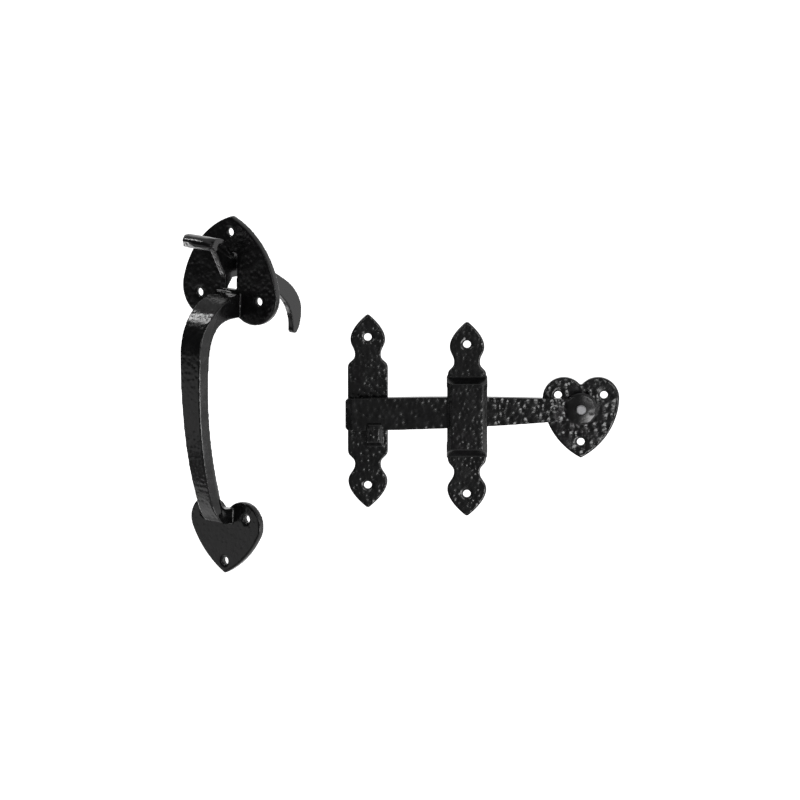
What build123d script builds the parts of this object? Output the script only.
from build123d import *
from math import cos, hypot, radians, sin, sqrt
import os

# Suffolk latch of black cast iron, in millimetres.
#
# The set has two groups. The bar group is the latch bar on its heart-shaped pivot plate, the
# keeper that it slides behind and the catch that it drops into. The handle group is the bowed
# pull with its thumb lever. +Z is up. The bar group's plates lie on the door face, Y = 0, and
# stand out of it along -Y. The origin is the axis of the bar's rivet on that face. The handle
# group stands to the left of it, turned about the upright, with its own flat back.
#
# Each group is drawn in its own frame: X across the plate, Y up, Z out of the door.

# Castings in general
running_gap = 0.3          # between faces that slide past each other
screw_hole = 4.9           # diameter of every screw hole
edge_ease = 0.7            # chamfer on the front edges of the plates
notch_round = 1.2          # at the notch between two lobes

# Pivot plate, measured from the rivet
pivot_plate_thick = 4.0
pivot_plate_width = 48.6
pivot_plate_tip = 32.1       # point below the rivet
pivot_plate_lobe = 19.6      # top of the lobes above the rivet
pivot_lobe_radius = 13.5
pivot_flank_radius = 45.0
pivot_screw_spread = 29.0    # between the two upper holes
pivot_upper_screws = 8.3
pivot_lower_screw = 21.8

# Latch bar
bar_reach = 148.8            # rivet axis to the free end
bar_root = 6.0               # where the blade starts inside the eye
bar_root_top = 6.5           # levels of its bowed edges, from the rivet
bar_root_low = -7.0
bar_end_top = 6.7
bar_end_low = -13.6
bar_top_crown = 1.3          # how far each edge bows out of its chord
bar_low_crown = 1.5
bar_thick = 5.0
bar_end_bevel = 4.0          # length and depth of the bevel at the free end
bar_end_bevel_depth = 2.0
bar_end_corner = 1.5
eye_radius = 10.4
rivet_shank = 4.6            # diameters
rivet_head = 6.2
rivet_head_height = 1.3
rivet_head_bevel = 0.6
rivet_clearance = 0.08       # radial, in the eye

# Keeper
keeper_at = -72.0            # its upright axis, from the rivet
keeper_mid = -7.3            # the middle of its length, from the rivet
keeper_length = 125.4
keeper_thick = 3.5
keeper_shoulder_width = 24.4
keeper_bridge_width = 25.8
keeper_bridge_face = 19.8    # between the bevels of its long edges
keeper_slack = 0.7           # between the bar and the bridge
keeper_roof = 3.4            # metal in front of the bar
keeper_foot_top = 20.4       # levels of the bridge and its opening, from the rivet
keeper_face_top = 16.9
keeper_opening_top = 14.2
keeper_opening_bottom = -21.8
keeper_face_bottom = -25.1
keeper_foot_bottom = -32.0
keeper_screw_pitch = 96.0

# Catch
catch_behind_end = 14.2      # its upright axis, from the bar's free end
catch_mid = -2.2
catch_length = 124.8
catch_thick = 3.5
catch_width = 25.4
catch_screw_pitch = 95.0
nose_width = 9.6
nose_depth = 11.4            # foot of the ramp below the bar
nose_face_depth = 6.5        # lower end of the nose's face below the bar
nose_offset = 4.2            # nose's axis, right of the catch's
nose_lip = 4.6               # how far the tip stands up in front of the bar
nose_lip_thick = 3.4
nose_bevel = 1.8             # along the sides of its face
nose_round = 1.4             # off its tip

# Finials of the keeper and the catch
finial_neck = 16.4
upper_finial = 34.5          # tip to shoulder
upper_finial_width = 22.0
lower_finial = 37.5
lower_finial_width = 24.8
finial_tip_round = 1.8

# Handle plates
handle_plate_thick = 4.5
handle_top = 123.1           # upper tip above the rivet's level
handle_length = 230.0        # tip to tip
upper_plate_width = 76.2
upper_plate_height = 67.6
upper_lobe_radius = 19.5
upper_flank_radius = 59.0
upper_screw_circle = 55.4
upper_circle_below_tip = 37.9
lower_plate_width = 56.6
lower_plate_height = 47.8
lower_lobe_radius = 14.5
lower_flank_radius = 62.0
lower_screw_circle = 39.2
lower_circle_above_tip = 27.6

# Where the handle group stands
handle_across = -220.9
handle_yaw = 38.0            # degrees about the upright
handle_lean = 1.5            # degrees in the plane of its own plates

# Grip, a flat bar bowed out of the plates
grip_reach = 41.0            # outer face from the plates' backs
grip_thick = 7.3
grip_top_width = 19.4
grip_foot_width = 11.6
grip_ledge_below_tip = 48.3  # flat top of its root
grip_bow_below_ledge = 36.0  # level where it stands furthest out
grip_shoulder_drop = 2.0     # slope of the shoulder below the ledge
grip_root_depth = 15.4       # at the upper plate
grip_foot_depth = 9.5        # at the lower plate
grip_foot_below_lobe = 14.4  # lower end of the foot
grip_foot_flare = 9.0        # how far the foot spreads before it turns down
grip_ankle_up = 22.0         # bend above the foot's lower end
grip_ankle_reach = 27.0      # outer face there, from the plates' backs
grip_inner_lag = 8.0         # its inner face bows lower down by this

# Thumb lever and its slot
slot_width = 12.0
slot_height = 23.4
slot_above_ledge = 1.8
slot_corner = 1.5
pin_diameter = 4.0
pin_clearance = 0.06
pin_behind_back = 4.2        # pin axis behind the plates' backs
pin_below_slot_top = 8.4
ear_thick = 3.6
ear_radius = 5.0
lever_thick = 4.2
lever_boss = 4.4             # radius of the boss round the pin
lever_neck = 15.6            # height of the lever in the slot
pad_width = 24.8
pad_reach = 38.4             # front of the thumb pad's roll from the plates' backs
pad_rise = 13.9              # its crest above the slot's top
pad_thick = 3.2
pad_roll_depth = 6.6         # crest to the front of the roll
pad_roll_drop = 8.3          # crest to the roll's lower side
pad_lip = 2.0                # flat lower edge of the roll
pad_root_width = 10.0
pad_corner = 1.6             # rounding of the roll's corners
gusset_reach = 23.6          # where the gusset meets the pad, from the plates' backs
heel_reach = 10.6            # the gusset's heel, from the plates' backs
heel_gap = 2.9               # above the ledge at rest
heel_height = 8.0            # its upright front
heel_bevel = 2.2
neck_front = 3.4             # where the neck's underside turns down to the heel
tail_reach = 67.0            # back of the tail behind the plates' backs
tail_drop = 60.7             # its tip below the slot's top
tail_elbow = 46.5            # level below the slot's top where its back is upright
tail_shoulder = 51.9         # where its back starts to bend down, behind the plates' backs
tail_hook_depth = 16.0       # of the hook, at the top of its inner edge
tail_hook_height = 21.9
tail_tip_back = 3.5          # the tip's rounding, from the back of the tail
tail_tip_depth = 8.5
tail_tip_round = 1.6


def half_to_face(right_edges):
    """A face from the right half of a symmetric outline."""
    left_edges = [mirror(edge, about=Plane.YZ) for edge in right_edges]
    return make_face(right_edges + left_edges)


def heart(width, tip, lobe, lobe_radius, flank_radius):
    """A heart with its point down, from the levels of its point and its lobes.

    Each side is a round lobe and a flatter flank that meets it tangentially, so the flank's
    centre lies flank_radius from the point and flank_radius - lobe_radius from the lobe's.
    """
    lobe_x = width / 2 - lobe_radius
    lobe_y = lobe - lobe_radius
    reach = hypot(lobe_x, lobe_y - tip)
    inner_radius = flank_radius - lobe_radius
    along = (flank_radius ** 2 - inner_radius ** 2 + reach ** 2) / (2 * reach)
    aside = sqrt(flank_radius ** 2 - along ** 2)
    way_x = lobe_x / reach
    way_y = (lobe_y - tip) / reach
    flank_x = along * way_x - aside * way_y
    flank_y = tip + along * way_y + aside * way_x
    meet_x = lobe_x + (lobe_x - flank_x) * lobe_radius / inner_radius
    meet_y = lobe_y + (lobe_y - flank_y) * lobe_radius / inner_radius
    half_x = meet_x / 2 - flank_x
    half_y = (meet_y + tip) / 2 - flank_y
    bulge = flank_radius / hypot(half_x, half_y)
    flank = ThreePointArc((0, tip), (flank_x + half_x * bulge, flank_y + half_y * bulge), (meet_x, meet_y))
    notch = lobe_y + sqrt(lobe_radius ** 2 - lobe_x ** 2)
    crown = (lobe_x + lobe_radius * cos(radians(60)), lobe_y + lobe_radius * sin(radians(60)))
    lobe_arc = ThreePointArc((meet_x, meet_y), crown, (0, notch))
    face = half_to_face([flank, lobe_arc])
    return fillet(face.vertices().group_by(Axis.Y)[-1], notch_round)


def finial_edges(width, neck, body, tip, shoulder):
    """The right side of a spear finial, from the body's shoulder to the tip."""
    run = tip - shoulder
    neck_at = shoulder + 0.24 * run
    bulge_at = shoulder + 0.53 * run
    bend = 0.13 * run
    hollow = Bezier((body / 2, shoulder), (body / 2, shoulder + bend),
                    (neck / 2, neck_at - bend), (neck / 2, neck_at))
    swell = Bezier((neck / 2, neck_at), (neck / 2, neck_at + bend),
                   (width / 2, bulge_at - bend), (width / 2, bulge_at))
    point = Bezier((width / 2, bulge_at), (width / 2, bulge_at + 0.17 * run),
                   (0.22 * width, tip - 0.11 * run), (0, tip))
    return [hollow, swell, point]


def strap(length, body):
    """The outline that the keeper and the catch share, centred on its own middle."""
    top = length / 2
    upper = finial_edges(upper_finial_width, finial_neck, body, top, top - upper_finial)
    lower = finial_edges(lower_finial_width, finial_neck, body, -top, -top + lower_finial)
    side = Line((body / 2, top - upper_finial), (body / 2, -top + lower_finial))
    outline = half_to_face(upper + [side] + lower)
    levels = outline.vertices().sort_by(Axis.Y)
    return fillet([levels[0], levels[-1]], finial_tip_round)


def cast_plate(face, thick, holes):
    """A plate with eased front edges and straight screw holes."""
    plate = extrude(face, thick)
    plate = chamfer(plate.faces().sort_by(Axis.Z)[-1].edges(), edge_ease)
    for x, y in holes:
        plate -= Pos(x, y, thick / 2) * Cylinder(screw_hole / 2, 2 * thick)
    return plate


def side_solid(profile, half_width):
    """Carry a side view across the group, half_width to each side."""
    side = Plane(origin=(half_width, 0, 0), x_dir=(0, 0, 1), z_dir=(-1, 0, 0)) * profile
    return extrude(side, 2 * half_width)


def make_pivot_plate():
    face = heart(pivot_plate_width, -pivot_plate_tip, pivot_plate_lobe,
                 pivot_lobe_radius, pivot_flank_radius)
    holes = [(-pivot_screw_spread / 2, pivot_upper_screws),
             (pivot_screw_spread / 2, pivot_upper_screws),
             (0, -pivot_lower_screw)]
    plate = cast_plate(face, pivot_plate_thick, holes)
    return plate - Pos(0, 0, pivot_plate_thick / 2) * Cylinder(rivet_shank / 2, 2 * pivot_plate_thick)


bar_back = pivot_plate_thick + running_gap
bar_front = bar_back + bar_thick


def bowed_edge(root_level, end_level, crown):
    """A parabola from the blade's root to its free end, crown out of its chord halfway."""
    middle = (root_level + end_level) / 2 + 2 * crown
    return Bezier((-bar_root, root_level), (-(bar_root + bar_reach) / 2, middle), (-bar_reach, end_level))


def bar_underside(x):
    """Level of the resting bar's lower edge at a place left of the rivet."""
    way = (-x - bar_root) / (bar_reach - bar_root)
    chord = bar_root_low + way * (bar_end_low - bar_root_low)
    return chord - 4 * bar_low_crown * way * (1 - way)


def make_latch_bar():
    """Bar that deepens to the left, its free end bevelled, with a round eye for the rivet."""
    outline = make_face([
        bowed_edge(bar_root_top, bar_end_top, bar_top_crown),
        Line((-bar_reach, bar_end_top), (-bar_reach, bar_end_low)),
        bowed_edge(bar_root_low, bar_end_low, -bar_low_crown),
        Line((-bar_root, bar_root_low), (-bar_root, bar_root_top))])
    blade = extrude(outline, bar_thick)
    blade = chamfer(blade.edges().filter_by(Axis.Z).sort_by(Axis.X)[:2], bar_end_corner)
    bevel = make_face(Polyline(
        (-bar_reach - bar_end_bevel, bar_thick - 1.5 * bar_end_bevel_depth),
        (-bar_reach, bar_thick - bar_end_bevel_depth),
        (-bar_reach + bar_end_bevel, bar_thick), (-bar_reach, 2 * bar_thick),
        (-bar_reach - bar_end_bevel, 2 * bar_thick), close=True))
    blade -= extrude(Plane.XZ * bevel, bar_reach, both=True)
    eye = Cylinder(eye_radius, bar_thick, align=(Align.CENTER, Align.CENTER, Align.MIN))
    eye = chamfer(eye.faces().sort_by(Axis.Z)[-1].edges(), edge_ease)
    bar = blade + eye
    bar -= Cylinder(rivet_shank / 2 + rivet_clearance, 4 * bar_thick)
    return Pos(0, 0, bar_back) * bar


def make_bar_rivet():
    """Rivet through the plate and the eye, flush at the back, with a low bevelled head."""
    seat = bar_front + running_gap / 2
    radius = rivet_head / 2
    shank = Cylinder(rivet_shank / 2, seat, align=(Align.CENTER, Align.CENTER, Align.MIN))
    head = Cylinder(radius, rivet_head_height, align=(Align.CENTER, Align.CENTER, Align.MIN))
    head = chamfer(head.faces().sort_by(Axis.Z)[-1].edges(), rivet_head_bevel)
    return shank + Pos(0, 0, seat) * head


keeper_inside = bar_front + keeper_slack
keeper_depth = keeper_inside + keeper_roof


def make_keeper():
    """Strap with a finial at each end and a bevelled bridge that the bar slides behind."""
    half_pitch = keeper_screw_pitch / 2
    body = cast_plate(strap(keeper_length, keeper_shoulder_width), keeper_thick,
                      [(0, half_pitch), (0, -half_pitch)])
    body = Pos(0, keeper_mid, 0) * body
    sunk = 0.5 * keeper_thick
    half = keeper_bridge_width / 2
    half_face = keeper_bridge_face / 2
    section = make_face(Polyline(
        (-half, sunk), (-half, keeper_inside), (-half_face, keeper_depth),
        (half_face, keeper_depth), (half, keeper_inside), (half, sunk), close=True))
    bridge = extrude(Plane.XZ * section, keeper_length, both=True)
    side = make_face(Polyline(
        (sunk, keeper_foot_top), (keeper_depth, keeper_face_top),
        (keeper_depth, keeper_face_bottom), (sunk, keeper_foot_bottom), close=True))
    bridge &= side_solid(side, keeper_bridge_width)
    middle = (keeper_opening_top + keeper_opening_bottom) / 2
    opening = Pos(0, middle, keeper_inside / 2) * Box(
        2 * keeper_bridge_width, keeper_opening_top - keeper_opening_bottom, keeper_inside)
    return Pos(keeper_at, 0, 0) * (body + bridge - opening)


catch_at = catch_behind_end - bar_reach


def make_catch():
    """Strap with a nose: a seat under the bar, a tip in front of it and a ramp below."""
    half_pitch = catch_screw_pitch / 2
    body = cast_plate(strap(catch_length, catch_width), catch_thick,
                      [(0, half_pitch), (0, -half_pitch)])
    body = Pos(catch_at, catch_mid, 0) * body
    nose_x = catch_at + nose_offset
    half = nose_width / 2
    seat = bar_underside(nose_x - half) - running_gap
    inner = bar_front + running_gap
    outer = inner + nose_lip_thick
    sunk = 0.5 * catch_thick
    side = make_face(Polyline(
        (sunk, seat), (inner, seat), (inner + running_gap, seat + nose_lip),
        (outer - nose_round, seat + nose_lip), (outer, seat + nose_lip - 2 * nose_round),
        (outer, seat - nose_face_depth), (sunk, seat - nose_depth), close=True))
    plan = make_face(Polyline(
        (-half, sunk), (-half, outer - nose_bevel), (-half + nose_bevel, outer),
        (half - nose_bevel, outer), (half, outer - nose_bevel), (half, sunk), close=True))
    nose = side_solid(side, nose_width) & extrude(Plane.XZ * plan, catch_length, both=True)
    return body + Pos(nose_x, 0, 0) * nose


# Levels of the handle, in the handle group's frame
handle_foot = handle_top - handle_length
ledge = handle_top - grip_ledge_below_tip
slot_bottom = ledge + slot_above_ledge
slot_top = slot_bottom + slot_height
lower_lobe = handle_foot + lower_plate_height
pin_level = slot_top - pin_below_slot_top


def grip_profile():
    """Side view of the grip: X is the depth out of the door, Y the level."""
    front = handle_plate_thick
    sunk = 0.5 * handle_plate_thick
    bow = ledge - grip_bow_below_ledge
    foot_low = lower_lobe - grip_foot_below_lobe
    foot_high = foot_low + grip_foot_depth
    root_low = ledge - grip_root_depth
    inner = grip_reach - grip_thick
    ankle = foot_low + grip_ankle_up
    ankle_out = grip_ankle_reach
    span = bow - ankle
    inner_bow = bow - grip_inner_lag
    inner_ankle = ankle_out - 1.1 * grip_thick
    outer = [
        Line((sunk, ledge), (front, ledge)),
        Bezier((front, ledge), (front + 0.62 * (grip_reach - front), ledge - grip_shoulder_drop),
               (grip_reach, bow + 0.52 * grip_bow_below_ledge), (grip_reach, bow)),
        Bezier((grip_reach, bow), (grip_reach, bow - 0.34 * span),
               (ankle_out + 0.11 * span, ankle + 0.3 * span), (ankle_out, ankle)),
        Bezier((ankle_out, ankle), (ankle_out - 0.1 * span, ankle - 0.28 * span),
               (front + grip_foot_flare, foot_low + 0.1 * grip_foot_depth), (front, foot_low)),
        Line((front, foot_low), (sunk, foot_low))]
    back = [
        Line((sunk, foot_low), (sunk, foot_high)),
        Line((sunk, foot_high), (front, foot_high)),
        Bezier((front, foot_high), (front + grip_foot_flare, foot_high + 0.2 * grip_foot_depth),
               (inner_ankle - 0.05 * span, ankle - 0.16 * span), (inner_ankle, ankle)),
        Bezier((inner_ankle, ankle), (inner_ankle + 0.11 * span, ankle + 0.3 * span),
               (inner, inner_bow - 0.34 * span), (inner, inner_bow)),
        Bezier((inner, inner_bow), (inner, bow + 0.62 * grip_bow_below_ledge),
               (front + 0.45 * (inner - front), root_low), (front, root_low)),
        Line((front, root_low), (sunk, root_low)),
        Line((sunk, root_low), (sunk, ledge))]
    return make_face(outer + back)


def make_grip():
    """The grip: its side view carried across, then narrowed towards the foot."""
    slab = side_solid(grip_profile(), grip_top_width)
    top = ledge + running_gap
    low = handle_foot
    taper = make_face(Polyline(
        (grip_top_width / 2, top), (grip_foot_width / 2, low),
        (-grip_foot_width / 2, low), (-grip_top_width / 2, top), close=True))
    return slab & extrude(taper, 2 * grip_reach)


def screw_circle(diameter, centre, turn):
    """Three evenly spaced holes, the first in the direction turn, in degrees."""
    return [(diameter / 2 * cos(radians(turn + 120 * i)),
             centre + diameter / 2 * sin(radians(turn + 120 * i))) for i in range(3)]


def make_ear():
    """Ear behind the upper plate that carries one end of the lever's pin."""
    reach = handle_plate_thick / 2 + pin_behind_back
    web = Pos(0, 0, -pin_behind_back + reach / 2) * Box(ear_thick, 2 * ear_radius, reach)
    ear = web + Pos(0, 0, -pin_behind_back) * Rot(0, 90, 0) * Cylinder(ear_radius, ear_thick)
    across = slot_width / 2 + ear_thick / 2
    return Pos(across, pin_level, 0) * ear


def make_handle():
    """Both plates, the grip and the pin's ears, cast as one."""
    upper_face = mirror(heart(upper_plate_width, 0, upper_plate_height,
                              upper_lobe_radius, upper_flank_radius), about=Plane.XZ)
    upper_circle = handle_top - upper_circle_below_tip
    upper = cast_plate(Pos(0, handle_top) * upper_face, handle_plate_thick,
                       screw_circle(upper_screw_circle, upper_circle, 90))
    lower_face = heart(lower_plate_width, 0, lower_plate_height,
                       lower_lobe_radius, lower_flank_radius)
    lower_circle = handle_foot + lower_circle_above_tip
    lower = cast_plate(Pos(0, handle_foot) * lower_face, handle_plate_thick,
                       screw_circle(lower_screw_circle, lower_circle, -90))
    slot = extrude(RectangleRounded(slot_width, slot_height, slot_corner), handle_plate_thick, both=True)
    ear = make_ear()
    body = upper - Pos(0, (slot_top + slot_bottom) / 2, 0) * slot
    body = body + lower + make_grip() + ear + mirror(ear, about=Plane.YZ)
    bore = Pos(0, pin_level, -pin_behind_back) * Rot(0, 90, 0)
    return body - bore * Cylinder(pin_diameter / 2, 2 * slot_width + 4 * ear_thick)


def make_lever_pin():
    """Pin across the two ears, flush with their outer sides."""
    length = slot_width + 2 * ear_thick
    return Pos(0, pin_level, -pin_behind_back) * Rot(0, 90, 0) * Cylinder(pin_diameter / 2, length)


def lever_web():
    """Side view of the lever's flat part: gusset, neck and sickle tail."""
    crown = slot_top - running_gap
    under = crown - lever_neck
    heel = ledge + heel_gap
    back = -tail_reach
    tip = slot_top - tail_drop
    elbow = slot_top - tail_elbow
    shoulder = -tail_shoulder
    bend = slot_top - 0.55 * tail_elbow
    root = -pin_behind_back
    tip_middle = (tail_tip_back + tail_tip_depth) / 2
    edges = [
        Line((heel_reach, heel), (heel_reach, heel + heel_height)),
        Line((heel_reach, heel + heel_height), (gusset_reach, slot_top + 0.5 * pad_rise)),
        Line((gusset_reach, slot_top + 0.5 * pad_rise), (handle_plate_thick + 4 * running_gap, crown)),
        Line((handle_plate_thick + 4 * running_gap, crown), (root, crown)),
        Bezier((root, crown), (0.33 * shoulder, crown - 0.14 * tail_elbow),
               (0.8 * shoulder, bend + 0.14 * tail_elbow), (shoulder, bend)),
        Bezier((shoulder, bend), (0.5 * (shoulder + back), bend - 0.1 * tail_elbow),
               (back, elbow + 0.17 * tail_elbow), (back, elbow)),
        Bezier((back, elbow), (back, elbow - 0.23 * tail_hook_height),
               (back + 0.5 * tail_tip_back, tip + 2 * tail_tip_round), (back + tail_tip_back, tip + tail_tip_round)),
        ThreePointArc((back + tail_tip_back, tip + tail_tip_round), (back + tip_middle, tip),
                      (back + tail_tip_depth, tip + 1.3 * tail_tip_round)),
        Bezier((back + tail_tip_depth, tip + 1.3 * tail_tip_round),
               (back + 0.48 * tail_hook_depth, tip + 0.26 * tail_hook_height),
               (back + 0.62 * tail_hook_depth, tip + 0.74 * tail_hook_height),
               (back + tail_hook_depth, tip + tail_hook_height)),
        Bezier((back + tail_hook_depth, tip + tail_hook_height),
               (back + 1.46 * tail_hook_depth, tip + 1.32 * tail_hook_height),
               (0.33 * back, under), (neck_front, under)),
        Line((neck_front, under), (heel_reach - heel_bevel, heel)),
        Line((heel_reach - heel_bevel, heel), (heel_reach, heel))]
    return make_face(edges)


def pad_profile():
    """Side view of the thumb pad: it rises from the slot to a crest and rolls over and under."""
    start = handle_plate_thick + 2 * running_gap
    root = slot_top - running_gap
    crest = slot_top + pad_rise
    crest_at = pad_reach - pad_roll_depth
    low = crest - pad_roll_drop
    front = 0.5 * (crest + low)
    under = crest - 1.2 * pad_thick
    under_at = crest_at - 0.33 * pad_roll_depth
    run = crest_at - start
    lip_at = crest_at + 0.4 * pad_lip
    lip_back = lip_at - pad_lip
    lip_low = low + 0.15 * pad_lip
    top = Bezier((start, root), (start + 0.35 * run, root + 0.36 * pad_rise),
                 (start + 0.7 * run, crest), (crest_at, crest))
    over = Bezier((crest_at, crest), (crest_at + 0.6 * pad_roll_depth, crest),
                  (pad_reach, front + 0.33 * pad_roll_drop), (pad_reach, front))
    round_under = Bezier((pad_reach, front), (pad_reach, low + 0.2 * pad_roll_drop),
                         (lip_at + 0.55 * pad_roll_depth, low), (lip_at, low))
    lip = Line((lip_at, low), (lip_back, lip_low))
    curl = 0.3 * pad_thick
    inside = ((lip_back + under_at) / 2 + curl, (lip_low + under + curl) / 2)
    hollow = ThreePointArc((lip_back, lip_low), inside, (under_at, under))
    below = Bezier((under_at, under), (start + 0.68 * run, under - 0.1 * pad_thick),
                   (start + 0.4 * run, root - 0.6 * pad_thick + 0.28 * pad_rise), (start, root - pad_thick))
    back = Line((start, root - pad_thick), (start, root))
    return make_face([top, over, round_under, lip, hollow, below, back])


def pad_plan():
    """Plan of the pad, narrow at the slot and flared to a straight roll: Y is the depth."""
    half = pad_width / 2
    root = pad_root_width / 2
    wide = pad_reach - 1.4 * pad_roll_depth
    corner = pad_reach - pad_corner
    bend = ((root + half) / 2, (handle_plate_thick + wide) / 2)
    neck = Polyline((0, 0), (root, 0), (root, handle_plate_thick))
    flare_out = TangentArc((root, handle_plate_thick), bend, tangent=(0, 1))
    flare_in = TangentArc((half, wide), bend, tangent=(0, -1))
    side = Line((half, wide), (half, corner))
    turn_in = TangentArc((half, corner), (half - pad_corner, pad_reach), tangent=(0, 1))
    rim = Line((half - pad_corner, pad_reach), (0, pad_reach))
    return half_to_face(neck.edges() + [flare_out, flare_in, side, turn_in, rim])


def make_thumb_lever():
    web = side_solid(lever_web(), lever_thick / 2)
    pad = side_solid(pad_profile(), pad_width)
    plan = Plane(origin=(0, slot_bottom, 0), x_dir=(1, 0, 0), z_dir=(0, -1, 0)) * pad_plan()
    pad &= extrude(plan, -2 * upper_plate_height)
    boss_at = Pos(0, pin_level, -pin_behind_back) * Rot(0, 90, 0)
    boss = boss_at * Cylinder(lever_boss, slot_width - 2 * running_gap)
    lever = web + pad + boss
    return lever - boss_at * Cylinder(pin_diameter / 2 + pin_clearance, 2 * slot_width)


door = Plane(origin=(0, 0, 0), x_dir=(1, 0, 0), z_dir=(0, -1, 0))
turn = radians(handle_yaw)
handle_stand = Plane(origin=(handle_across, 0, 0), x_dir=(cos(turn), -sin(turn), 0),
                     z_dir=(-sin(turn), -cos(turn), 0))
handle_place = handle_stand.location * Rot(0, 0, -handle_lean)

nodes = {
    "pivot_plate": door * make_pivot_plate(),
    "latch_bar": door * make_latch_bar(),
    "bar_rivet": door * make_bar_rivet(),
    "keeper": door * make_keeper(),
    "catch": door * make_catch(),
    "handle": handle_place * make_handle(),
    "lever_pin": handle_place * make_lever_pin(),
    "thumb_lever": handle_place * make_thumb_lever(),
}

os.makedirs("parts", exist_ok=True)
for name, shape in nodes.items():
    export_step(shape, "parts/" + name + ".step")
